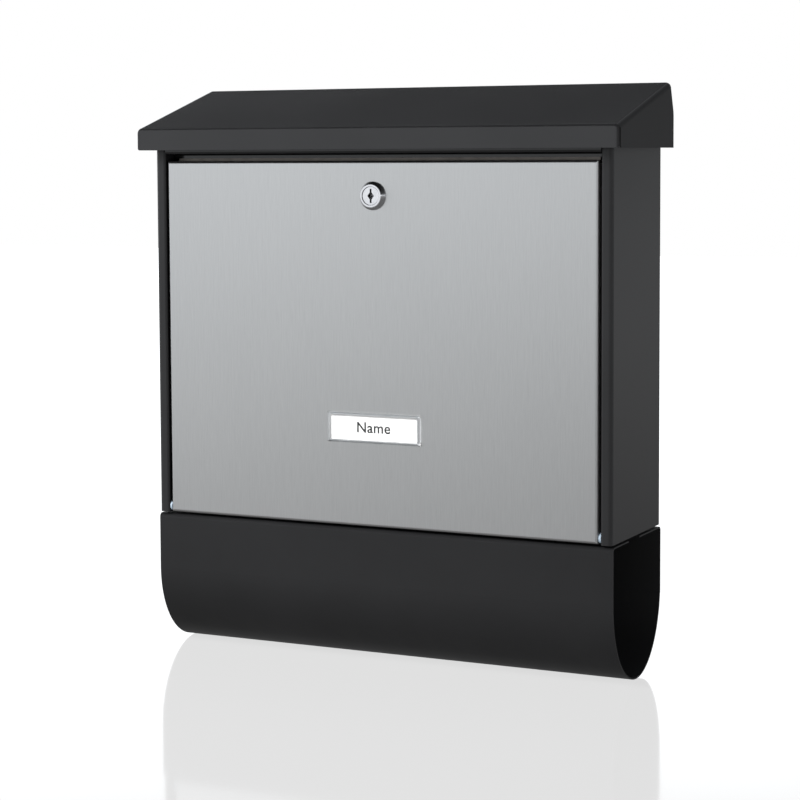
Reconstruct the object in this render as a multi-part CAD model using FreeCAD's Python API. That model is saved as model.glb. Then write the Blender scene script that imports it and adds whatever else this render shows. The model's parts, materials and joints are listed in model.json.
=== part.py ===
import FreeCAD, Part
import math
import os

# Wall mounted mailbox: a black sheet-steel body with a sloped lid, a stainless door
# hinged at its lower edge, a cam lock, a name plate and an open-ended newspaper roll.
# Millimetres. +Z is up, the wall is the plane Y = 0 and the front faces -Y.
# The origin is the centre of the four wall holes in the back panel.

V = FreeCAD.Vector

# Sheet thickness, shared by body, lid, door and roll.
T = 1.0

# Body
BODY_W = 362.0
BODY_D = 100.0
BODY_BOTTOM = -143.4
JAMB_DEPTH = 12.0
OPENING_W = 345.0
BACK_TOP = 163.0
WALL_HOLE_DX = 280.0
WALL_HOLE_DZ = 200.0
WALL_HOLE_R = 3.25

# Lid
LID_W = 380.0
LID_FRONT = -111.7
LID_BOTTOM = 128.0
CREASE_Z = 143.9
ROOF_REAR_Y = -4.6
ROOF_REAR_Z = 174.9
APRON_REAR_Y = -0.5
ROOF_SLOPE = (ROOF_REAR_Z - CREASE_Z) / (ROOF_REAR_Y - LID_FRONT)
ROOF_ANGLE = math.degrees(math.atan(ROOF_SLOPE))
LID_FOLD_R = 4.0
LID_CREASE_R = 2.2
LID_SEAM = 1.2
LID_CORNER_R = 2.8
LID_AXIS_Y = -9.2
LID_AXIS_Z = 167.3
LID_PIN_R = 2.0
LID_COLLAR_R = 3.6

# Top rail above the door
RAIL_BOTTOM = 124.9
RAIL_TOP = 142.0
RAIL_STOP_Y = -86.0
RAIL_STOP_BOTTOM = 108.0
RAIL_STOP_W = 335.2

# Door
DOOR_W = 341.2
DOOR_TOP = 119.8
DOOR_BOTTOM = -143.0
DOOR_DEPTH = 12.0
DOOR_BEND_R = 2.0
UPSTAND_W = 335.2
UPSTAND_RISE = 2.1
DOOR_AXIS_Y = -95.4
DOOR_AXIS_Z = -139.0
DOOR_PIN_R = 2.0
RUNNING_CLEARANCE = 0.05

# Lock
LOCK_Z = 94.9
BEZEL_R = 10.2
BARREL_R = 7.9
LOCK_HOLE_R = 8.0
BARREL_REAR = -85.4
PLUG_R = 5.5
PLUG_FACE_R = 6.7
KEY_SLOT_W = 1.4
KEY_SLOT_H = 10.0
KEY_SLOT_DEPTH = 9.0
KEY_FUNNEL_W = 5.2
KEY_FUNNEL_H = 7.0
KEY_FUNNEL_DEPTH = 5.5
CAM_FRONT = -84.6
CAM_T = 2.0
CAM_REACH = 27.0
CAM_W = 14.0

# Name plate
PLATE_W = 73.6
PLATE_H = 21.8
PLATE_Z = -71.4
CARD_W = 69.6
CARD_H = 18.0
CARD_T = 0.3
BACKING_T = 0.8
COVER_T = 2.6
COVER_BEVEL = 1.1
COVER_GAP = 0.08
STUD_X = 31.0

# Newspaper roll
ROLL_W = 363.2
ROLL_FRONT = -99.2
ROLL_REAR = -0.7
ROLL_TOP = -144.8
ROLL_STRAIGHT_END = -186.0
ROLL_BOTTOM = -245.8
ROLL_FRONT_FLANGE_END = -68.0
ROLL_REAR_FLANGE_END = -46.0
SCREW_X = 150.0
SCREW_YS = (-78.0, -22.0)
SCREW_R = 2.5


def box(x0, x1, y0, y1, z0, z1):
    """Axis-aligned box between two corners."""
    return Part.makeBox(x1 - x0, y1 - y0, z1 - z0, V(x0, y0, z0))


def rod_x(radius, x0, x1, y, z):
    """Cylinder along X."""
    return Part.makeCylinder(radius, x1 - x0, V(x0, y, z), V(1, 0, 0))


def rod_y(radius, y0, y1, x, z):
    """Cylinder along Y."""
    return Part.makeCylinder(radius, y1 - y0, V(x, y0, z), V(0, 1, 0))


def rod_z(radius, z0, z1, x, y):
    """Cylinder along Z."""
    return Part.makeCylinder(radius, z1 - z0, V(x, y, z0), V(0, 0, 1))


def polygon_x(points, x0, x1):
    """Prism along X from (y, z) points."""
    wire = Part.makePolygon([V(x0, y, z) for y, z in points] + [V(x0, *points[0])])
    return Part.Face(wire).extrude(V(x1 - x0, 0, 0))


def edges_where(shape, test):
    """Edges of a shape whose bounding box passes a test."""
    return [edge for edge in shape.Edges if test(edge.BoundBox)]


def unit(dx, dy):
    length = math.hypot(dx, dy)
    return dx / length, dy / length


def offset_path(points, distance):
    """Open 2D path moved sideways: to the left of travel when distance is positive."""
    lines = []
    for (ax, ay), (bx, by) in zip(points, points[1:]):
        ux, uy = unit(bx - ax, by - ay)
        lines.append(((ax - uy * distance, ay + ux * distance), (ux, uy)))
    result = [lines[0][0]]
    for (p, d), (q, e) in zip(lines, lines[1:]):
        cross = d[0] * e[1] - d[1] * e[0]
        t = ((q[0] - p[0]) * e[1] - (q[1] - p[1]) * e[0]) / cross
        result.append((p[0] + d[0] * t, p[1] + d[1] * t))
    end_x, end_y = points[-1]
    ux, uy = lines[-1][1]
    result.append((end_x - uy * distance, end_y + ux * distance))
    return result


def filleted_edges(points, radii, place):
    """Edges of an open path with an arc of the given radius at each inner corner."""
    edges = []
    start = points[0]
    for index, radius in enumerate(radii):
        a, b, c = points[index], points[index + 1], points[index + 2]
        ux, uy = unit(a[0] - b[0], a[1] - b[1])
        wx, wy = unit(c[0] - b[0], c[1] - b[1])
        half = math.acos(ux * wx + uy * wy) / 2
        trim = radius / math.tan(half)
        enter = (b[0] + ux * trim, b[1] + uy * trim)
        leave = (b[0] + wx * trim, b[1] + wy * trim)
        mx, my = unit(ux + wx, uy + wy)
        reach = radius / math.sin(half) - radius
        middle = (b[0] + mx * reach, b[1] + my * reach)
        edges.append(Part.LineSegment(place(*start), place(*enter)).toShape())
        edges.append(Part.Arc(place(*enter), place(*middle), place(*leave)).toShape())
        start = leave
    edges.append(Part.LineSegment(place(*start), place(*points[-1])).toShape())
    return edges


def bent_strip(points, radii, side, place):
    """Face of a folded sheet: the path is one surface, side is +1 for metal on its left."""
    other = offset_path(points, side * T)
    other_radii = []
    for index, radius in enumerate(radii):
        a, b, c = points[index], points[index + 1], points[index + 2]
        turn = (b[0] - a[0]) * (c[1] - b[1]) - (b[1] - a[1]) * (c[0] - b[0])
        other_radii.append(radius - T if turn * side > 0 else radius + T)
    edges = filleted_edges(points, radii, place) + filleted_edges(other, other_radii, place)
    edges.append(Part.LineSegment(place(*points[0]), place(*other[0])).toShape())
    edges.append(Part.LineSegment(place(*points[-1]), place(*other[-1])).toShape())
    return Part.Face(Part.Wire(Part.__sortEdges__(edges)))


def in_xy(z):
    return lambda x, y: V(x, y, z)


def in_yz(x):
    return lambda y, z: V(x, y, z)


def roof_z(y):
    """Height of the roof's top surface at a depth."""
    return CREASE_Z + ROOF_SLOPE * (y - LID_FRONT)


def body_outline():
    """Side outline of the body: sloped top, an ear round each lid pin, a lower back."""
    ear_r = 4.6
    normal = (-math.sin(math.radians(ROOF_ANGLE)), math.cos(math.radians(ROOF_ANGLE)))
    top = (LID_AXIS_Y + normal[0] * ear_r, LID_AXIS_Z + normal[1] * ear_r)
    front_y = -BODY_D - 1
    front_top = (front_y, top[1] + ROOF_SLOPE * (front_y - top[0]))
    rear = (LID_AXIS_Y + ear_r, LID_AXIS_Z)
    bisector = unit(normal[0] + 1, normal[1])
    middle = (LID_AXIS_Y + bisector[0] * ear_r, LID_AXIS_Z + bisector[1] * ear_r)
    low = BODY_BOTTOM
    place = in_yz(-BODY_W / 2 - 1)
    corners = [(rear[0], BACK_TOP), (1, BACK_TOP), (1, low), (front_y, low), front_top, top]
    edges = [Part.Arc(place(*top), place(*middle), place(*rear)).toShape()]
    for a, b in zip([rear] + corners, corners):
        edges.append(Part.LineSegment(place(*a), place(*b)).toShape())
    face = Part.Face(Part.Wire(Part.__sortEdges__(edges)))
    return face.extrude(V(BODY_W + 2, 0, 0))


def body_shell():
    """Back, sides, front flanges and door jambs, folded from one sheet."""
    half = BODY_W / 2
    inner = OPENING_W / 2
    jamb_rear = -BODY_D + JAMB_DEPTH
    path = [
        (inner, jamb_rear), (inner, -BODY_D), (half, -BODY_D), (half, 0),
        (-half, 0), (-half, -BODY_D), (-inner, -BODY_D), (-inner, jamb_rear),
    ]
    radii = [2.0, 3.0, 3.0, 3.0, 3.0, 2.0]
    strip = bent_strip(path, radii, 1, in_xy(BODY_BOTTOM))
    shell = strip.extrude(V(0, 0, ROOF_REAR_Z - BODY_BOTTOM)).common(body_outline())
    for x in (-WALL_HOLE_DX / 2, WALL_HOLE_DX / 2):
        for z in (-WALL_HOLE_DZ / 2, WALL_HOLE_DZ / 2):
            shell = shell.cut(rod_y(WALL_HOLE_R, -2, 1, x, z))
    pin_hole = LID_PIN_R + RUNNING_CLEARANCE
    shell = shell.cut(rod_x(pin_hole, -half - 1, half + 1, LID_AXIS_Y, LID_AXIS_Z))
    for side in (-1, 1):
        x0 = min(side * (inner - 1), side * (inner + 2))
        shell = shell.cut(rod_x(DOOR_PIN_R, x0, x0 + 3, DOOR_AXIS_Y, DOOR_AXIS_Z))
    return shell


def screw_places():
    return [(x, y) for x in (-SCREW_X, SCREW_X) for y in SCREW_YS]


def tray(x, y0, y1, z0, z1, radius):
    """Open tray: floor at z0, four upturned sides, folded edges of a given radius."""
    outer = box(-x, x, y0, y1, z0, z1)
    outer = outer.makeFillet(radius, edges_where(
        outer, lambda b: b.ZMax < z1 - 0.1 or b.ZLength > (z1 - z0) / 2))
    inner = box(-x + T, x - T, y0 + T, y1 - T, z0 + T, z1 + 5)
    inner = inner.makeFillet(radius - T, edges_where(
        inner, lambda b: b.ZMax < z1 or b.ZLength > (z1 - z0) / 2))
    return outer.cut(inner)


def body_base():
    """Floor of the mail compartment, with upturned edges welded inside the body."""
    lip_height = 9.0
    base = tray(BODY_W / 2 - T, -86.0, -T, BODY_BOTTOM, BODY_BOTTOM + lip_height, 2.0)
    for x, y in screw_places():
        base = base.cut(rod_z(SCREW_R, BODY_BOTTOM - 1, BODY_BOTTOM + 2, x, y))
    return base


def top_rail():
    """Z-shaped rail over the door: face, shelf and the stop flange the cam locks behind."""
    top_rear_y = -BODY_D + 16
    path = [
        (RAIL_STOP_Y, RAIL_STOP_BOTTOM), (RAIL_STOP_Y, RAIL_BOTTOM), (-BODY_D, RAIL_BOTTOM),
        (-BODY_D, RAIL_TOP), (top_rear_y, RAIL_TOP + ROOF_SLOPE * (top_rear_y + BODY_D)),
    ]
    strip = bent_strip(path, [1.0, 2.0, 2.0], -1, in_yz(-OPENING_W / 2))
    rail = strip.extrude(V(OPENING_W, 0, 0))
    notch = (OPENING_W - RAIL_STOP_W) / 2
    for x0 in (-OPENING_W / 2 - 1, RAIL_STOP_W / 2):
        rail = rail.cut(box(x0, x0 + notch + 1, RAIL_STOP_Y - 0.5, RAIL_STOP_Y + 2,
                            RAIL_STOP_BOTTOM - 1, RAIL_BOTTOM - 2))
    return rail


def lid():
    """Sloped roof with a front lip and side aprons, folded from one sheet."""
    half = LID_W / 2
    outline = [
        (LID_FRONT, LID_BOTTOM), (LID_FRONT, CREASE_Z), (ROOF_REAR_Y, ROOF_REAR_Z),
        (APRON_REAR_Y, CREASE_Z + 19), (APRON_REAR_Y, LID_BOTTOM),
    ]
    outer = polygon_x(outline, -half, half)
    outer = outer.makeFillet(3.0, edges_where(
        outer, lambda b: b.YLength < 0.01 and b.ZLength < 0.01 and abs(b.ZMax - ROOF_REAR_Z) < 0.1))
    outer = outer.makeFillet(LID_FOLD_R, edges_where(
        outer, lambda b: b.YLength > 50 and b.ZLength > 20))
    outer = outer.makeFillet(LID_CREASE_R, edges_where(
        outer, lambda b: b.XLength > 100 and abs(b.ZMax - CREASE_Z) < 1.0))
    rise = T / math.cos(math.radians(ROOF_ANGLE))
    inner_front = LID_FRONT + T
    hollow = [
        (inner_front, LID_BOTTOM - 1), (inner_front, roof_z(inner_front) - rise),
        (5, roof_z(5) - rise), (5, LID_BOTTOM - 1),
    ]
    inner = polygon_x(hollow, -half + T, half - T)
    inner = inner.makeFillet(LID_FOLD_R - T, edges_where(
        inner, lambda b: b.YLength > 50 and b.ZLength > 20))
    shell = outer.cut(inner)
    apron_front = inner_front + LID_SEAM
    corner_r = LID_CORNER_R
    for side in (-1, 1):
        x0 = min(side * (half - T), side * (half + 1))
        x1 = x0 + T + 1
        shell = shell.cut(box(x0, x1, inner_front, apron_front, LID_BOTTOM - 1, CREASE_Z - LID_CREASE_R))
        toe = box(x0, x1, apron_front - 0.1, apron_front + corner_r, LID_BOTTOM - 1, LID_BOTTOM + corner_r)
        shell = shell.cut(toe.cut(rod_x(corner_r, x0 - 1, x1 + 1, apron_front + corner_r,
                                        LID_BOTTOM + corner_r)))
        corner = box(min(side * (half - corner_r), side * (half + 1)),
                     max(side * (half - corner_r), side * (half + 1)),
                     LID_FRONT - 1, inner_front, LID_BOTTOM - 1, LID_BOTTOM + corner_r)
        keep = rod_y(corner_r, LID_FRONT - 2, inner_front + 1,
                     side * (half - corner_r), LID_BOTTOM + corner_r)
        shell = shell.cut(corner.cut(keep))
    return shell


def mirrored(shape):
    """The shape and its mirror image across X = 0 as one compound."""
    return Part.makeCompound([shape, shape.mirror(V(0, 0, 0), V(1, 0, 0))])


def lid_pivot_pins():
    """Two stepped studs welded inside the aprons, running in the body's side holes."""
    weld_x = LID_W / 2 - T
    collar = rod_x(LID_COLLAR_R, BODY_W / 2 + 0.5, weld_x, LID_AXIS_Y, LID_AXIS_Z).cut(lid())
    shaft = rod_x(LID_PIN_R, BODY_W / 2 - 6.0, BODY_W / 2 + 1, LID_AXIS_Y, LID_AXIS_Z)
    shaft = shaft.makeChamfer(0.4, edges_where(shaft, lambda b: b.XMax < BODY_W / 2 - 5.9))
    return mirrored(collar.fuse(shaft).removeSplitter())


def lid_pin_clips():
    """Push-on washers that hold the lid's studs in the body."""
    x0 = BODY_W / 2 - 3.0
    clip = rod_x(3.8, x0, x0 + 0.8, LID_AXIS_Y, LID_AXIS_Z)
    clip = clip.cut(rod_x(LID_PIN_R, x0 - 1, x0 + 2, LID_AXIS_Y, LID_AXIS_Z))
    return mirrored(clip)


def lid_buffers():
    """Two rubber pads on the rail's top flange, under the closed lid."""
    height = 3.7
    radius = 4.0
    y = -BODY_D + 8
    z = RAIL_TOP + ROOF_SLOPE * (y + BODY_D)
    lean = math.radians(ROOF_ANGLE)
    up = V(0, -math.sin(lean), math.cos(lean))
    pad = Part.makeCylinder(radius, height, V(150.0, y, z), up)
    top_edges = [edge for edge in pad.Edges
                 if (edge.CenterOfMass - V(150.0, y, z)).dot(up) > height - 0.01]
    return mirrored(pad.makeFillet(0.8, top_edges))


def door_panel():
    """Stainless door: a shallow tray, open to the back, with a low upstand along its top."""
    half = DOOR_W / 2
    front = -BODY_D
    rear = front + DOOR_DEPTH
    outer = box(-half, half, front, rear, DOOR_BOTTOM, DOOR_TOP)
    outer = outer.makeFillet(DOOR_BEND_R, edges_where(outer, lambda b: b.YMax < rear - 0.1))
    inner = box(-half + T, half - T, front + T, rear + 5, DOOR_BOTTOM + T, DOOR_TOP - T)
    inner = inner.makeFillet(DOOR_BEND_R - T, edges_where(inner, lambda b: b.YMax < rear))
    upstand = box(-UPSTAND_W / 2, UPSTAND_W / 2, rear, rear + T, DOOR_TOP - T, DOOR_TOP + UPSTAND_RISE)
    upstand = upstand.makeFillet(T * 0.9, edges_where(
        upstand, lambda b: b.ZMax < DOOR_TOP and b.YMin > rear + T / 2))
    door = outer.cut(inner).fuse(upstand).removeSplitter()
    relief = 8.0
    for side in (-1, 1):
        x0 = min(side * (half - T - relief), side * (half - T))
        door = door.cut(box(x0, x0 + relief, front + DOOR_BEND_R + 0.6, rear + 1,
                            DOOR_BOTTOM - 1, DOOR_BOTTOM + T))
    pin_hole = DOOR_PIN_R + RUNNING_CLEARANCE
    door = door.cut(rod_x(pin_hole, -half - 1, half + 1, DOOR_AXIS_Y, DOOR_AXIS_Z))
    door = door.cut(rod_y(LOCK_HOLE_R, front - 1, front + 2, 0, LOCK_Z))
    for x in (-STUD_X, STUD_X):
        door = door.cut(rod_y(1.6, front - 1, front + 2, x, PLATE_Z))
    return door


def door_hinge_pins():
    """Two headed rivets, fixed in the jambs, that the door swings on."""
    jamb = OPENING_W / 2
    inner_face = DOOR_W / 2 - T
    shank = rod_x(DOOR_PIN_R, inner_face - 1.5, jamb + T + 1, DOOR_AXIS_Y, DOOR_AXIS_Z)
    head = rod_x(2.4, inner_face - 2.0, inner_face - 0.5, DOOR_AXIS_Y, DOOR_AXIS_Z)
    head = head.makeFillet(0.6, edges_where(head, lambda b: b.XMax < inner_face - 1.9))
    tail = rod_x(3.2, jamb + T, jamb + T + 1.3, DOOR_AXIS_Y, DOOR_AXIS_Z)
    tail = tail.makeFillet(0.7, edges_where(tail, lambda b: b.XMin > jamb + T + 1.2))
    return mirrored(shank.fuse([head, tail]).removeSplitter())


def door_hinge_washers():
    """Spacer washers between the door's sides and the jambs."""
    jamb = OPENING_W / 2
    washer = rod_x(3.65, jamb - 1.6, jamb, DOOR_AXIS_Y, DOOR_AXIS_Z)
    washer = washer.cut(rod_x(DOOR_PIN_R, jamb - 3, jamb + 1, DOOR_AXIS_Y, DOOR_AXIS_Z))
    return mirrored(washer)


def revolved_y(points, x, z):
    """Solid of revolution about a line along Y from (radius, y) points."""
    wire = Part.makePolygon([V(x + r, y, z) for r, y in points] + [V(x + points[0][0], points[0][1], z)])
    return Part.Face(wire).revolve(V(x, 0, z), V(0, 1, 0), 360)


def lock_housing():
    """Lock body: bevelled bezel in front of the door and a barrel behind it."""
    face = -BODY_D - 4.0
    bore = PLUG_R + RUNNING_CLEARANCE
    counterbore = PLUG_FACE_R + 0.1
    points = [
        (counterbore, face), (BEZEL_R - 2.1, face), (BEZEL_R - 1.6, face + 0.5),
        (BEZEL_R, -BODY_D - 0.8), (BEZEL_R, -BODY_D), (BARREL_R, -BODY_D),
        (BARREL_R, BARREL_REAR), (bore, BARREL_REAR), (bore, face + 2.6),
        (counterbore, face + 2.6),
    ]
    return revolved_y(points, 0, LOCK_Z)


def lock_nut():
    """Hexagon nut that clamps the lock to the back of the door."""
    across_flats = 22.0
    corner_r = across_flats / 2 / math.cos(math.pi / 6)
    y0 = -BODY_D + T
    corners = [V(corner_r * math.cos(k * math.pi / 3), y0, LOCK_Z + corner_r * math.sin(k * math.pi / 3))
               for k in range(7)]
    nut = Part.Face(Part.makePolygon(corners)).extrude(V(0, 3.5, 0))
    return nut.cut(rod_y(LOCK_HOLE_R, y0 - 1, y0 + 5, 0, LOCK_Z))


def lock_plug():
    """Turning plug with a keyway, a square end for the cam and a tapped hole."""
    face = -BODY_D - 3.4
    points = [
        (0, face), (PLUG_FACE_R - 0.3, face), (PLUG_FACE_R, face + 0.3), (PLUG_FACE_R, face + 1.9),
        (PLUG_R, face + 1.9), (PLUG_R, CAM_FRONT), (0, CAM_FRONT),
    ]
    plug = revolved_y(points, 0, LOCK_Z)
    square = 3.0
    plug = plug.fuse(box(-square, square, CAM_FRONT - 1, CAM_FRONT + CAM_T + 0.1,
                         LOCK_Z - square, LOCK_Z + square)).removeSplitter()
    plug = plug.cut(box(-KEY_SLOT_W / 2, KEY_SLOT_W / 2, face - 1, face + KEY_SLOT_DEPTH,
                        LOCK_Z - KEY_SLOT_H / 2, LOCK_Z + KEY_SLOT_H / 2))
    diamonds = []
    for y, share in ((face - 0.01, 1.0), (face + KEY_FUNNEL_DEPTH, 0.7)):
        w = KEY_FUNNEL_W / 2 * share
        h = KEY_FUNNEL_H / 2 * share
        corners = ((-w, 0), (0, -h), (w, 0), (0, h), (-w, 0))
        diamonds.append(Part.makePolygon([V(x, y, LOCK_Z + z) for x, z in corners]))
    plug = plug.cut(Part.makeLoft(diamonds, True))
    return plug.cut(rod_y(1.9, CAM_FRONT - 6, CAM_FRONT + 5, 0, LOCK_Z))


def lock_cam():
    """Flat cam with round ends; it points sideways while the lock is open."""
    y1 = CAM_FRONT + CAM_T
    r = CAM_W / 2
    arm = box(-CAM_REACH + r, 0, CAM_FRONT, y1, LOCK_Z - r, LOCK_Z + r)
    cam = arm.fuse([rod_y(r, CAM_FRONT, y1, 0, LOCK_Z),
                    rod_y(r, CAM_FRONT, y1, -CAM_REACH + r, LOCK_Z)]).removeSplitter()
    square = 3.0
    return cam.cut(box(-square, square, CAM_FRONT - 1, y1 + 1, LOCK_Z - square, LOCK_Z + square))


def cam_washer():
    """Washer between the cam and its screw."""
    y0 = CAM_FRONT + CAM_T + 0.1
    return rod_y(5.0, y0, y0 + 0.8, 0, LOCK_Z).cut(rod_y(1.95, y0 - 1, y0 + 2, 0, LOCK_Z))


def cam_screw():
    """Pan-head screw that holds the cam on the plug."""
    y0 = CAM_FRONT + CAM_T + 0.9
    head = rod_y(3.6, y0, y0 + 2.2, 0, LOCK_Z)
    head = head.makeFillet(0.9, edges_where(head, lambda b: b.YMin > y0 + 2.1))
    shank = rod_y(1.85, CAM_FRONT - 5.5, y0 + 0.5, 0, LOCK_Z)
    slots = [box(-2.2, 2.2, y0 + 1.2, y0 + 3, LOCK_Z - 0.5, LOCK_Z + 0.5),
             box(-0.5, 0.5, y0 + 1.2, y0 + 3, LOCK_Z - 2.2, LOCK_Z + 2.2)]
    return head.fuse(shank).removeSplitter().cut(Part.makeCompound(slots))


def plate_block(half_w, half_h, y0, y1):
    """Rectangular block centred on the name plate."""
    return box(-half_w, half_w, y0, y1, PLATE_Z - half_h, PLATE_Z + half_h)


def name_plate_base():
    """Grey backing behind the name card with two studs through the door."""
    plate = plate_block(CARD_W / 2, CARD_H / 2, -BODY_D - BACKING_T, -BODY_D)
    studs = [rod_y(1.5, -BODY_D - 0.1, -BODY_D + 4.5, x, PLATE_Z) for x in (-STUD_X, STUD_X)]
    return plate.fuse(studs).removeSplitter()


def name_card():
    """Blank paper card between the backing and the clear cover."""
    rear = -BODY_D - BACKING_T
    return plate_block(CARD_W / 2, CARD_H / 2, rear - CARD_T, rear)


def name_plate_cover():
    """Clear cover with bevelled edges that closes on the door, with a pocket for card and backing."""
    front = -BODY_D - COVER_T
    cover = plate_block(PLATE_W / 2, PLATE_H / 2, front, -BODY_D - COVER_GAP)
    cover = cover.makeChamfer(COVER_BEVEL, edges_where(cover, lambda b: b.YMax < front + 0.1))
    pocket_end = -BODY_D - BACKING_T - CARD_T - COVER_GAP
    return cover.cut(plate_block(CARD_W / 2 + COVER_GAP, CARD_H / 2 + COVER_GAP, pocket_end, -BODY_D + 1))


def name_plate_clips():
    """Two push-on clips that hold the name plate's studs behind the door."""
    y0 = -BODY_D + T
    clips = [rod_y(3.5, y0, y0 + 1.0, x, PLATE_Z).cut(rod_y(1.5, y0 - 1, y0 + 2, x, PLATE_Z))
             for x in (-STUD_X, STUD_X)]
    return Part.makeCompound(clips)


def roll_edges(inset, x):
    """Open outline of the roll's trough, moved inwards by an inset."""
    place = in_yz(x)
    front = ROLL_FRONT + inset
    rear = ROLL_REAR - inset
    top = ROLL_TOP - inset
    bend = 3.0 - inset
    middle_y = (ROLL_FRONT + ROLL_REAR) / 2
    across = (rear - front) / 2
    down = ROLL_STRAIGHT_END - ROLL_BOTTOM - inset
    turn = math.radians(45)
    start = Part.LineSegment(place(ROLL_FRONT_FLANGE_END, top), place(front + bend, top))
    front_bend = Part.Arc(
        place(front + bend, top),
        place(front + bend - bend * math.cos(turn), top - bend + bend * math.sin(turn)),
        place(front, top - bend))
    front_wall = Part.LineSegment(place(front, top - bend), place(front, ROLL_STRAIGHT_END))
    steps = 24
    curve_points = []
    for k in range(steps + 1):
        angle = math.pi * k / steps
        curve_points.append(place(middle_y - across * math.cos(angle),
                                  ROLL_STRAIGHT_END - down * math.sin(angle)))
    curve = Part.BSplineCurve()
    curve.interpolate(curve_points, InitialTangent=V(0, 0, -1), FinalTangent=V(0, 0, 1))
    rear_wall = Part.LineSegment(place(rear, ROLL_STRAIGHT_END), place(rear, top - bend))
    rear_bend = Part.Arc(
        place(rear, top - bend),
        place(rear - bend + bend * math.cos(turn), top - bend + bend * math.sin(turn)),
        place(rear - bend, top))
    end = Part.LineSegment(place(rear - bend, top), place(ROLL_REAR_FLANGE_END, top))
    return [c.toShape() for c in (start, front_bend, front_wall, curve, rear_wall, rear_bend, end)]


def newspaper_roll():
    """Trough for papers, open at both ends and along a gap in its top."""
    x = -ROLL_W / 2
    place = in_yz(x)
    edges = roll_edges(0, x) + roll_edges(T, x)
    for y in (ROLL_FRONT_FLANGE_END, ROLL_REAR_FLANGE_END):
        edges.append(Part.LineSegment(place(y, ROLL_TOP), place(y, ROLL_TOP - T)).toShape())
    roll = Part.Face(Part.Wire(Part.__sortEdges__(edges))).extrude(V(ROLL_W, 0, 0))
    for px, py in screw_places():
        roll = roll.cut(rod_z(SCREW_R, ROLL_TOP - 2, ROLL_TOP + 1, px, py))
    return roll


def roll_spacers():
    """Four washers between the body's floor and the roll."""
    rings = [rod_z(6.0, ROLL_TOP, BODY_BOTTOM, x, y).cut(
        rod_z(SCREW_R, ROLL_TOP - 1, BODY_BOTTOM + 1, x, y)) for x, y in screw_places()]
    return Part.makeCompound(rings)


def roll_screws():
    """Four pan-head screws through the body's floor into the roll."""
    screws = []
    seat = BODY_BOTTOM + T
    for x, y in screw_places():
        head = rod_z(4.5, seat, seat + 2.6, x, y)
        head = head.makeFillet(1.1, edges_where(head, lambda b: b.ZMin > seat + 2.5))
        screw = head.fuse(rod_z(SCREW_R, ROLL_TOP - T - 5.5, seat + 0.5, x, y)).removeSplitter()
        screws.append(screw.cut(box(x - 2.8, x + 2.8, y - 0.6, y + 0.6, seat + 1.6, seat + 4)))
    return Part.makeCompound(screws)


def roll_nuts():
    """Four hexagon nuts under the roll's top flanges."""
    nuts = []
    corner_r = 4.0 / math.cos(math.pi / 6)
    z1 = ROLL_TOP - T
    for x, y in screw_places():
        corners = [V(x + corner_r * math.cos(k * math.pi / 3), y + corner_r * math.sin(k * math.pi / 3),
                     z1 - 4.0) for k in range(7)]
        nut = Part.Face(Part.makePolygon(corners)).extrude(V(0, 0, 4.0))
        nuts.append(nut.cut(rod_z(SCREW_R, z1 - 6, z1 + 1, x, y)))
    return Part.makeCompound(nuts)


PARTS = {
    "body_shell": body_shell,
    "body_base": body_base,
    "top_rail": top_rail,
    "lid": lid,
    "lid_pivot_pins": lid_pivot_pins,
    "lid_pin_clips": lid_pin_clips,
    "lid_buffers": lid_buffers,
    "door_panel": door_panel,
    "door_hinge_pins": door_hinge_pins,
    "door_hinge_washers": door_hinge_washers,
    "lock_housing": lock_housing,
    "lock_nut": lock_nut,
    "lock_plug": lock_plug,
    "lock_cam": lock_cam,
    "cam_washer": cam_washer,
    "cam_screw": cam_screw,
    "name_plate_base": name_plate_base,
    "name_card": name_card,
    "name_plate_cover": name_plate_cover,
    "name_plate_clips": name_plate_clips,
    "newspaper_roll": newspaper_roll,
    "roll_spacers": roll_spacers,
    "roll_screws": roll_screws,
    "roll_nuts": roll_nuts,
}

os.makedirs("parts", exist_ok=True)
for node, make in PARTS.items():
    shape = make()
    if not shape.isValid():
        raise ValueError(node + " is not a valid shape")
    shape.exportStep("parts/" + node + ".step")
    print(node, len(shape.Solids), "solids", round(shape.Volume, 1), "mm3")
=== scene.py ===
import json
import math

import bpy
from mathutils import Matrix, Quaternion, Vector

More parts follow.
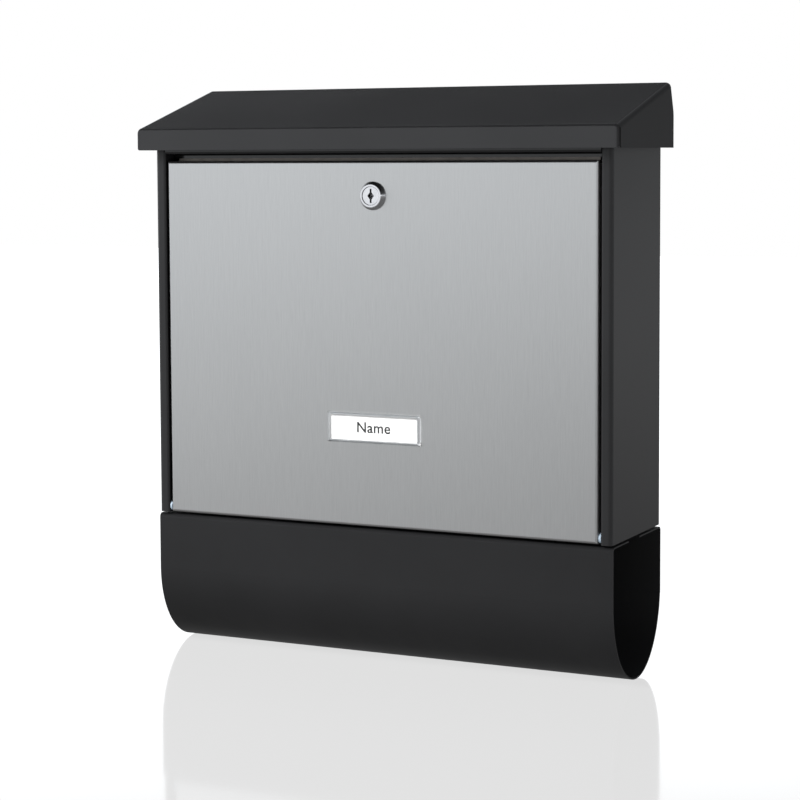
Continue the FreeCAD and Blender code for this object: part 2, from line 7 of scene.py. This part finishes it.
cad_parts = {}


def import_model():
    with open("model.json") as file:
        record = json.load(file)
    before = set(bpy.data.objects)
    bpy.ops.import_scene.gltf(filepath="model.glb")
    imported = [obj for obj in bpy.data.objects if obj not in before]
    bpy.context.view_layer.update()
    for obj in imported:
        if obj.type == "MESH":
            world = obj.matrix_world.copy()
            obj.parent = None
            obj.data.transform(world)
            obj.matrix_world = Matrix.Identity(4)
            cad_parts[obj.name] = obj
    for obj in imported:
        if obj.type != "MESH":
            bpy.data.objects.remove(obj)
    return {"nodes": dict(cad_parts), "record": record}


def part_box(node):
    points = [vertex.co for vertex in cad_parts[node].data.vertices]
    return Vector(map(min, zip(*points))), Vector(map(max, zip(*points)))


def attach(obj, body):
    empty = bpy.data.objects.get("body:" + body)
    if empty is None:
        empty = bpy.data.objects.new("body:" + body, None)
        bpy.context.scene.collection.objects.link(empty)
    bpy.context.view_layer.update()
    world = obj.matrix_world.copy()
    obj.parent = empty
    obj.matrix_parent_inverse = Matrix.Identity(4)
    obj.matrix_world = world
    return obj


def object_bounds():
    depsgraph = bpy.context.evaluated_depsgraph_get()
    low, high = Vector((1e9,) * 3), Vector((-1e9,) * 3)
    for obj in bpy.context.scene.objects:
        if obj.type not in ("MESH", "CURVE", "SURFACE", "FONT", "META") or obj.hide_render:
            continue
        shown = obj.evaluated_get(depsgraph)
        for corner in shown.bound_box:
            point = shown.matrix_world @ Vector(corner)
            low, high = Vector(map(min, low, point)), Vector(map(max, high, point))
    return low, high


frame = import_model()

# Looks for the wall mounted mailbox. Metres, in the frame of the CAD model:
# the wall is Y = 0, the door faces -Y and +Z is up.

CAD_LOW, CAD_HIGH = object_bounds()
CENTRE = (CAD_LOW + CAD_HIGH) / 2
NODES = frame["nodes"]
MM = 0.001

# Camera, as fitted to the photograph's view: degrees, metres and millimetres of lens.
CAMERA_AZIMUTH = 25.89
CAMERA_PITCH = 4.331
CAMERA_ROLL = 0.267
CAMERA_DISTANCE = 1.596
CAMERA_AIM = Vector((-0.0016, 0.0025, 0.0389))
CAMERA_LENS = 97.946
CAMERA_SENSOR = 36.0
CAMERA_SHIFT = -0.1

# Floor
FLOOR_REACH = 6.0
FLOOR_GAP = 0.5 * MM
FLOOR_GREY = 0.05
FLOOR_ROUGHNESS = 0.08
FLOOR_GLOW = 0.69

# Lettering on the name card
TEXT_HEIGHT = 0.60
TEXT_SPACING = 1.05
TEXT_THICKNESS = 0.02 * MM
TEXT_WEIGHT = 0.17 * MM
TEXT_GAP = 0.03 * MM

# Where the lid's paint turns matt, in from its sides, and how much rougher it gets.
APRON_FADE_START = 3.5 * MM
APRON_FADE_END = 0.5 * MM
APRON_ROUGHER = 0.43

# The door's sheet: where its rear begins, where its folded edges begin, and how far down the top
# return gets painted shade.
DOOR_REAR = 0.5 * MM
DOOR_FOLD = 3.0 * MM
DOOR_TOP_SHADE = 4.0 * MM

# Share of the clear cover that is let through over the card.
CARD_WINDOW = 0.93

# Surroundings: where the sectors blend, as an axis of the direction and its start and end.
FRONT_TO_BACK = ("Y", -0.1, 0.35)
LEFT_TO_RIGHT = ("X", -0.28, -0.08)
RIGHT_TO_FAR_RIGHT = ("X", 0.55, 0.75)
FRONT_SLANT = ("X", -0.55, 0.0)
FRONT_SLANT_GAIN = 2.4
COOL_TINT = 0.03
COOL_FROM = -3


# ---------------------------------------------------------------- node helpers

class Nodes:
    """A node tree with short calls for adding and wiring nodes."""

    def add(self, kind, **settings):
        node = self.tree.nodes.new(kind)
        for key, value in settings.items():
            setattr(node, key, value)
        return node

    def wire(self, source, target):
        self.tree.links.new(source, target)


class Shader(Nodes):
    """A material's node tree."""

    def __init__(self, name):
        self.material = bpy.data.materials.new(name)
        self.material.use_nodes = True
        self.tree = self.material.node_tree
        self.surface = self.tree.nodes["Principled BSDF"]
        self.place = self.add("ShaderNodeTexCoord").outputs["Object"]

    def set(self, **values):
        for key, value in values.items():
            self.surface.inputs[key.replace("_", " ")].default_value = value

    def scaled(self, x, y, z):
        """Object coordinates stretched along each axis."""
        mapping = self.add("ShaderNodeMapping")
        mapping.inputs["Scale"].default_value = (x, y, z)
        self.wire(self.place, mapping.inputs["Vector"])
        return mapping.outputs["Vector"]

    def noise(self, vector, scale, detail=3.0, roughness=0.5):
        node = self.add("ShaderNodeTexNoise")
        node.inputs["Scale"].default_value = scale
        node.inputs["Detail"].default_value = detail
        node.inputs["Roughness"].default_value = roughness
        self.wire(vector, node.inputs["Vector"])
        return node.outputs["Fac"]

    def ramp(self, source, *stops):
        """Colour ramp; each stop is (position, grey) or (position, (r, g, b))."""
        node = self.add("ShaderNodeValToRGB")
        elements = node.color_ramp.elements
        while len(elements) < len(stops):
            elements.new(0.5)
        for element, (position, value) in zip(elements, stops):
            element.position = position
            rgb = value if isinstance(value, tuple) else (value, value, value)
            element.color = (*rgb, 1.0)
        self.wire(source, node.inputs["Fac"])
        return node.outputs["Color"]

    def math(self, operation, a, b):
        node = self.add("ShaderNodeMath", operation=operation)
        for socket, value in zip(node.inputs, (a, b)):
            if isinstance(value, (int, float)):
                socket.default_value = value
            else:
                self.wire(value, socket)
        return node.outputs["Value"]

    def mix(self, factor, a, b):
        node = self.add("ShaderNodeMix", data_type="RGBA")
        for name, value in (("Factor", factor), ("A", a), ("B", b)):
            socket = node.inputs[name]
            if isinstance(value, (int, float)):
                socket.default_value = value
            elif isinstance(value, tuple):
                socket.default_value = (*value, 1.0)
            else:
                self.wire(value, socket)
        return node.outputs["Result"]

    def bump(self, height, strength, distance, base=None):
        node = self.add("ShaderNodeBump")
        node.inputs["Strength"].default_value = strength
        node.inputs["Distance"].default_value = distance
        self.wire(height, node.inputs["Height"])
        if base is not None:
            self.wire(base, node.inputs["Normal"])
        return node.outputs["Normal"]

    def finish(self, colour=None, roughness=None, normal=None):
        if colour is not None:
            self.wire(colour, self.surface.inputs["Base Color"])
        if roughness is not None:
            self.wire(roughness, self.surface.inputs["Roughness"])
        if normal is not None:
            self.wire(normal, self.surface.inputs["Normal"])
        return self.material


# ------------------------------------------------------------------- materials

def powder_coat(name, base_roughness, specular):
    """Satin black powder coat: a fine orange peel with faint dust and rubbed spots."""
    s = Shader(name)
    s.set(IOR=1.5, Specular_IOR_Level=specular)
    grain = s.noise(s.place, 2600.0, 2.0)
    peel = s.noise(s.place, 520.0, 2.0, 0.4)
    cloud = s.noise(s.place, 9.0, 4.0, 0.6)
    colour = s.ramp(cloud, (0.3, (0.0076, 0.0076, 0.0081)), (0.7, (0.0104, 0.0104, 0.0111)))
    roughness = s.math("ADD", s.math("MULTIPLY", cloud, 0.06), base_roughness)
    roughness = s.math("ADD", roughness, s.math("MULTIPLY", grain, 0.05))
    normal = s.bump(peel, 0.25, 0.00006)
    normal = s.bump(grain, 0.35, 0.000015, normal)
    s.finish(colour, roughness, normal)
    return s, roughness


def body_paint():
    return powder_coat("black_powder_coat", 0.36, 0.47)[0].material


def rail_paint():
    return powder_coat("rail_powder_coat", 0.10, 0.52)[0].material


def roll_paint():
    return powder_coat("roll_powder_coat", 0.50, 0.42)[0].material


def lid_paint():
    """The lid's coat: smoother on the roof and lip, matt towards the hanging sides."""
    s, roughness = powder_coat("lid_powder_coat", 0.12, 0.43)
    low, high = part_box("lid")
    across = s.add("ShaderNodeSeparateXYZ")
    s.wire(s.place, across.inputs["Vector"])
    matt = s.add("ShaderNodeMapRange", interpolation_type="SMOOTHSTEP")
    matt.inputs["From Min"].default_value = high.x - APRON_FADE_START
    matt.inputs["From Max"].default_value = high.x - APRON_FADE_END
    matt.inputs["To Max"].default_value = APRON_ROUGHER
    s.wire(s.math("ABSOLUTE", across.outputs["X"], 0.0), matt.inputs["Value"])
    return s.finish(roughness=s.math("ADD", roughness, matt.outputs["Result"]))


def brushed_stainless():
    """Stainless sheet: vertical grain outside, mill finish inside, painted shade on the top return."""
    s = Shader("brushed_stainless")
    s.set(Metallic=1.0, Anisotropic=0.5)
    tangent = s.add("ShaderNodeTangent", direction_type="RADIAL", axis="Z")
    s.wire(tangent.outputs["Tangent"], s.surface.inputs["Tangent"])
    fine = s.noise(s.scaled(2600.0, 400.0, 90.0), 1.0, 2.0, 0.6)
    streaks = s.noise(s.scaled(1100.0, 200.0, 42.0), 1.0, 3.0, 0.6)
    lines = s.noise(s.scaled(700.0, 200.0, 12.0), 1.0, 2.0, 0.5)
    cloud = s.noise(s.scaled(26.0, 26.0, 16.0), 1.0, 3.0)
    grain = s.math("ADD", s.math("MULTIPLY", fine, 0.45), s.math("MULTIPLY", streaks, 0.4))
    grain = s.math("ADD", grain, s.math("MULTIPLY", lines, 0.15))
    brushed = s.ramp(grain, (0.3, (0.61, 0.615, 0.615)), (0.7, (0.71, 0.715, 0.715)))
    brushed = s.mix(s.math("MULTIPLY", cloud, 0.16), brushed, (0.54, 0.55, 0.555))
    mottle = s.noise(s.scaled(160.0, 160.0, 160.0), 1.0, 3.0)
    mill = s.ramp(mottle, (0.3, (0.52, 0.52, 0.515)), (0.7, (0.60, 0.60, 0.595)))
    # painted shade: the top return sits in shade under the rail, so it is coloured dark brown-grey
    # here
    top_return_painted_shade = s.ramp(mottle, (0.3, (0.12, 0.11, 0.10)), (0.7, (0.16, 0.147, 0.135)))
    along = s.add("ShaderNodeSeparateXYZ")
    s.wire(s.place, along.inputs["Vector"])
    low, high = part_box("door_panel")
    inside = s.math("GREATER_THAN", along.outputs["Y"], low.y + DOOR_REAR)
    folded = s.math("GREATER_THAN", along.outputs["Y"], low.y + DOOR_FOLD)
    # mask of the top return that gets the painted shade
    top_shade_mask = s.math("GREATER_THAN", along.outputs["Z"], high.z - DOOR_TOP_SHADE)
    colour = s.mix(inside, brushed, mill)
    # the painted shade of the top return is mixed in here
    colour = s.mix(s.math("MULTIPLY", folded, top_shade_mask), colour, top_return_painted_shade)
    roughness = s.math("ADD", s.math("MULTIPLY", grain, 0.14), 0.27)
    roughness = s.math("ADD", roughness, s.math("MULTIPLY", inside, 0.12))
    normal = s.bump(grain, 0.4, 0.00003)
    return s.finish(colour, roughness, normal)


def chrome():
    """Nickel-chrome plate with fine polishing marks and slight tarnish."""
    s = Shader("lock_chrome")
    tint = (0.78, 0.78, 0.80)
    s.set(Metallic=1.0)
    marks = s.noise(s.scaled(300.0, 300.0, 3000.0), 1.0, 3.0)
    cloud = s.noise(s.place, 220.0, 3.0)
    low = tuple(c * 0.9 for c in tint)
    colour = s.ramp(cloud, (0.35, low), (0.65, tint))
    rough = s.math("ADD", s.math("MULTIPLY", marks, 0.08), 0.09)
    return s.finish(colour, rough, s.bump(marks, 0.12, 0.00001))


def zinc():
    """Bright zinc plate with a mottled, slightly blue finish."""
    s = Shader("zinc_plate")
    s.set(Metallic=1.0)
    spangle = s.noise(s.place, 700.0, 3.0, 0.6)
    colour = s.ramp(spangle, (0.3, (0.50, 0.52, 0.55)), (0.7, (0.64, 0.66, 0.68)))
    rough = s.math("ADD", s.math("MULTIPLY", spangle, 0.2), 0.24)
    return s.finish(colour, rough, s.bump(spangle, 0.2, 0.00002))


def moulded(name, dark, light, roughness):
    """Moulded plastic or rubber with a fine matt texture."""
    s = Shader(name)
    fleck = s.noise(s.place, 900.0, 2.0)
    colour = s.ramp(fleck, (0.35, dark), (0.65, light))
    rough = s.math("ADD", s.math("MULTIPLY", fleck, 0.12), roughness)
    return s.finish(colour, rough, s.bump(fleck, 0.3, 0.00003))


def clear_plastic():
    """Clear plastic: a window that lets the card show, and solid polished edges around it."""
    s = Shader("clear_plastic")
    s.set(Base_Color=(0.96, 0.97, 0.98, 1.0), Roughness=0.03, IOR=1.49, Transmission_Weight=1.0)
    low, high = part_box("name_card")
    place = s.add("ShaderNodeSeparateXYZ")
    s.wire(s.place, place.inputs["Vector"])
    across = s.math("ABSOLUTE", s.math("SUBTRACT", place.outputs["X"], (low.x + high.x) / 2), 0.0)
    up = s.math("ABSOLUTE", s.math("SUBTRACT", place.outputs["Z"], (low.z + high.z) / 2), 0.0)
    window = s.math("MULTIPLY", s.math("LESS_THAN", across, (high.x - low.x) / 2),
                    s.math("LESS_THAN", up, (high.z - low.z) / 2))
    s.wire(s.math("SUBTRACT", 1.0, s.math("MULTIPLY", window, CARD_WINDOW)), s.surface.inputs["Alpha"])
    wave = s.noise(s.place, 180.0, 1.0)
    return s.finish(normal=s.bump(wave, 0.05, 0.00003))


def paper():
    """White card with paper fibre."""
    s = Shader("white_card")
    fibre = s.noise(s.scaled(900.0, 900.0, 1500.0), 1.0, 4.0, 0.7)
    colour = s.ramp(fibre, (0.3, (0.77, 0.77, 0.765)), (0.7, (0.84, 0.84, 0.835)))
    rough = s.math("ADD", s.math("MULTIPLY", fibre, 0.2), 0.6)
    return s.finish(colour, rough, s.bump(fibre, 0.2, 0.00002))


def ink():
    """Black print with slight unevenness."""
    s = Shader("black_ink")
    spread = s.noise(s.place, 1800.0, 2.0)
    colour = s.ramp(spread, (0.3, 0.012), (0.7, 0.03))
    return s.finish(colour, s.math("ADD", s.math("MULTIPLY", spread, 0.2), 0.5))


def paint_nodes():
    """Gives every CAD node the finish of its slot, and three black parts their own coat."""
    finishes = {
        "black_paint": body_paint(),
        "stainless": brushed_stainless(),
        "lock_chrome": chrome(),
        "zinc_steel": zinc(),
        "pale_nylon": moulded("pale_nylon", (0.24, 0.30, 0.36), (0.31, 0.37, 0.43), 0.35),
        "black_rubber": moulded("black_rubber", (0.012, 0.012, 0.012), (0.03, 0.03, 0.03), 0.7),
        "clear_plastic": clear_plastic(),
        "grey_plastic": moulded("grey_plastic", (0.20, 0.20, 0.21), (0.25, 0.25, 0.26), 0.4),
        "paper": paper(),
    }
    for entry in frame["record"]["subparts"]:
        mesh = NODES[entry["node"]].data
        mesh.materials.clear()
        mesh.materials.append(finishes[entry["material_slot"]])
    NODES["lid"].data.materials[0] = lid_paint()
    NODES["top_rail"].data.materials[0] = rail_paint()
    NODES["newspaper_roll"].data.materials[0] = roll_paint()


# ---------------------------------------------------------------------- pieces

def card_text():
    """The generic word on the name card, as flat printed letters."""
    low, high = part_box("name_card")
    curve = bpy.data.curves.new("card_text", "FONT")
    curve.body = "Name"
    curve.size = (high.z - low.z) * TEXT_HEIGHT
    curve.align_x = "CENTER"
    curve.align_y = "CENTER"
    curve.space_character = TEXT_SPACING
    curve.extrude = TEXT_THICKNESS
    curve.offset = TEXT_WEIGHT
    curve.materials.append(ink())
    text = bpy.data.objects.new("card_text", curve)
    bpy.context.collection.objects.link(text)
    text.rotation_euler = (math.radians(90), 0, 0)
    text.location = ((low.x + high.x) / 2, low.y - TEXT_GAP, (low.z + high.z) / 2)
    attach(text, "door")


# ------------------------------------------------------------------------ stage

def floor():
    """Pale floor under the object's lowest point, with a faint polish, clear from below."""
    reach = FLOOR_REACH
    z = CAD_LOW.z - FLOOR_GAP
    mesh = bpy.data.meshes.new("floor")
    corners = [(-reach, -reach, z), (reach, -reach, z), (reach, reach, z), (-reach, reach, z)]
    mesh.from_pydata(corners, [], [(0, 1, 2, 3)])
    plane = bpy.data.objects.new("floor", mesh)
    bpy.context.collection.objects.link(plane)
    material = bpy.data.materials.new("pale_floor")
    material.use_nodes = True
    surface = material.node_tree.nodes["Principled BSDF"]
    surface.inputs["Base Color"].default_value = (FLOOR_GREY, FLOOR_GREY, FLOOR_GREY, 1.0)
    surface.inputs["Roughness"].default_value = FLOOR_ROUGHNESS
    surface.inputs["Specular IOR Level"].default_value = 0.5
    surface.inputs["Emission Color"].default_value = (1.0, 1.0, 1.0, 1.0)
    surface.inputs["Emission Strength"].default_value = FLOOR_GLOW
    tree = material.node_tree
    side = tree.nodes.new("ShaderNodeNewGeometry")
    clear = tree.nodes.new("ShaderNodeBsdfTransparent")
    chooser = tree.nodes.new("ShaderNodeMixShader")
    tree.links.new(side.outputs["Backfacing"], chooser.inputs["Fac"])
    tree.links.new(surface.outputs["BSDF"], chooser.inputs[1])
    tree.links.new(clear.outputs["BSDF"], chooser.inputs[2])
    tree.links.new(chooser.outputs["Shader"], tree.nodes["Material Output"].inputs["Surface"])
    mesh.materials.append(material)
    plane.visible_glossy = False


class Sky(Nodes):
    """Node tree of the studio surroundings, graded by elevation in a few sectors."""

    def __init__(self):
        scene_world = bpy.data.worlds.new("studio")
        bpy.context.scene.world = scene_world
        scene_world.use_nodes = True
        self.tree = scene_world.node_tree
        self.split = self.add("ShaderNodeSeparateXYZ")
        self.wire(self.add("ShaderNodeTexCoord").outputs["Generated"], self.split.inputs["Vector"])

    def blend(self, axis, start, end):
        """0 to 1 as the direction's component along an axis goes from start to end."""
        node = self.add("ShaderNodeMapRange", interpolation_type="SMOOTHSTEP")
        node.inputs["From Min"].default_value = start
        node.inputs["From Max"].default_value = end
        self.wire(self.split.outputs[axis], node.inputs["Value"])
        return node.outputs["Result"]

    def by_elevation(self, height, *stops):
        """Brightness by elevation in degrees, a little cooler above the horizon."""
        place = self.add("ShaderNodeMapRange")
        place.inputs["From Min"].default_value = -1.0
        self.wire(height, place.inputs["Value"])
        ramp = self.add("ShaderNodeValToRGB")
        elements = ramp.color_ramp.elements
        while len(elements) < len(stops):
            elements.new(0.5)
        for element, (elevation, value) in zip(elements, stops):
            element.position = (math.sin(math.radians(elevation)) + 1) / 2
            cool = COOL_TINT if elevation > COOL_FROM else 0.0
            element.color = (value * (1 - cool), value, value * (1 + cool), 1.0)
        self.wire(place.outputs["Result"], ramp.inputs["Fac"])
        return ramp.outputs["Color"]

    def mix(self, factor, a, b):
        node = self.add("ShaderNodeMix", data_type="RGBA")
        self.wire(factor, node.inputs["Factor"])
        self.wire(a, node.inputs["A"])
        self.wire(b, node.inputs["B"])
        return node.outputs["Result"]

    def tilted_height(self):
        """Height that falls off faster below the horizon towards the middle of the front."""
        slant = self.add("ShaderNodeMath", operation="MULTIPLY_ADD")
        self.wire(self.blend(*FRONT_SLANT), slant.inputs[0])
        slant.inputs[1].default_value = FRONT_SLANT_GAIN
        slant.inputs[2].default_value = 1.0
        height = self.add("ShaderNodeMath", operation="MULTIPLY")
        self.wire(slant.outputs["Value"], height.inputs[0])
        self.wire(self.split.outputs["Z"], height.inputs[1])
        return height.outputs["Value"]


def world():
    """Studio surroundings: white to the eye, and graded as seen in paint and metal."""
    sky = Sky()
    level = sky.split.outputs["Z"]
    front = sky.by_elevation(
        sky.tilted_height(),
        (-90, 0.20), (-60, 0.24), (-30, 0.24), (-16, 0.37), (-9, 0.60), (-2, 1.02),
        (4, 1.18), (14, 1.18), (24, 0.4), (34, 0.06), (90, 0.03))
    back_left = sky.by_elevation(
        level,
        (-90, 0.15), (-45, 0.4), (-2, 0.55), (2, 1.4), (15, 1.4), (21, 0.08),
        (38, 0.06), (48, 0.4), (65, 0.5), (80, 0.2), (90, 0.03))
    back_right = sky.by_elevation(
        level,
        (-90, 0.04), (-20, 0.06), (-10, 0.20), (-5, 0.50), (-1.5, 0.85), (0.5, 0.12),
        (12, 0.12), (20, 0.20), (40, 0.18), (50, 0.4), (65, 0.5), (80, 0.2), (90, 0.03))
    far_right = sky.by_elevation(
        level,
        (-90, 0.15), (-45, 0.4), (-2, 0.6), (20, 0.5), (50, 0.2), (90, 0.03))
    back = sky.mix(sky.blend(*LEFT_TO_RIGHT), back_left, back_right)
    back = sky.mix(sky.blend(*RIGHT_TO_FAR_RIGHT), back, far_right)
    lit = sky.add("ShaderNodeBackground")
    sky.wire(sky.mix(sky.blend(*FRONT_TO_BACK), front, back), lit.inputs["Color"])
    seen = sky.tree.nodes["Background"]
    seen.inputs["Color"].default_value = (1.0, 1.0, 1.0, 1.0)
    chooser = sky.add("ShaderNodeMixShader")
    sky.wire(sky.add("ShaderNodeLightPath").outputs["Is Camera Ray"], chooser.inputs["Fac"])
    sky.wire(lit.outputs["Background"], chooser.inputs[1])
    sky.wire(seen.outputs["Background"], chooser.inputs[2])
    sky.wire(chooser.outputs["Shader"], sky.tree.nodes["World Output"].inputs["Surface"])


def area_light(name, position, width, height, power):
    """Soft box aimed at the object, which lights only what is matt."""
    data = bpy.data.lights.new(name, "AREA")
    data.shape = "RECTANGLE"
    data.size = width
    data.size_y = height
    data.energy = power
    light = bpy.data.objects.new(name, data)
    bpy.context.collection.objects.link(light)
    light.location = position
    light.rotation_mode = "QUATERNION"
    light.rotation_quaternion = (CENTRE - Vector(position)).to_track_quat("-Z", "Y")
    light.visible_camera = False
    light.visible_glossy = False
    light.visible_transmission = False


def lights():
    """A large soft box up and left of the front, a weak one right of it, and a strip each side."""
    area_light("key", (-1.0, -1.5, 1.2), 1.2, 1.0, 105.0)
    area_light("fill", (1.8, -0.6, 0.7), 0.8, 1.0, 5.0)
    area_light("right_strip", (1.9, -0.5, 0.1), 0.25, 0.9, 9.0)
    area_light("left_strip", (-1.9, -0.3, 0.1), 0.25, 0.9, 9.0)


def camera():
    """Camera to the right of the front and a little above the middle."""
    azimuth = math.radians(CAMERA_AZIMUTH)
    pitch = math.radians(CAMERA_PITCH)
    roll = math.radians(CAMERA_ROLL)
    aim = CENTRE + CAMERA_AIM
    forward = Vector((-math.sin(azimuth) * math.cos(pitch),
                      math.cos(azimuth) * math.cos(pitch), -math.sin(pitch)))
    data = bpy.data.cameras.new("camera")
    data.sensor_width = CAMERA_SENSOR
    data.lens = CAMERA_LENS
    data.shift_y = CAMERA_SHIFT
    cam = bpy.data.objects.new("camera", data)
    bpy.context.collection.objects.link(cam)
    cam.location = aim - forward * CAMERA_DISTANCE
    cam.rotation_mode = "QUATERNION"
    level = forward.to_track_quat("-Z", "Y")
    cam.rotation_quaternion = Quaternion(forward, roll) @ level
    bpy.context.scene.camera = cam


def colours():
    """Plain display colours, so that tones are as set here."""
    bpy.context.scene.view_settings.view_transform = "Standard"


paint_nodes()
card_text()
floor()
world()
lights()
camera()
colours()

bpy.context.view_layer.update()
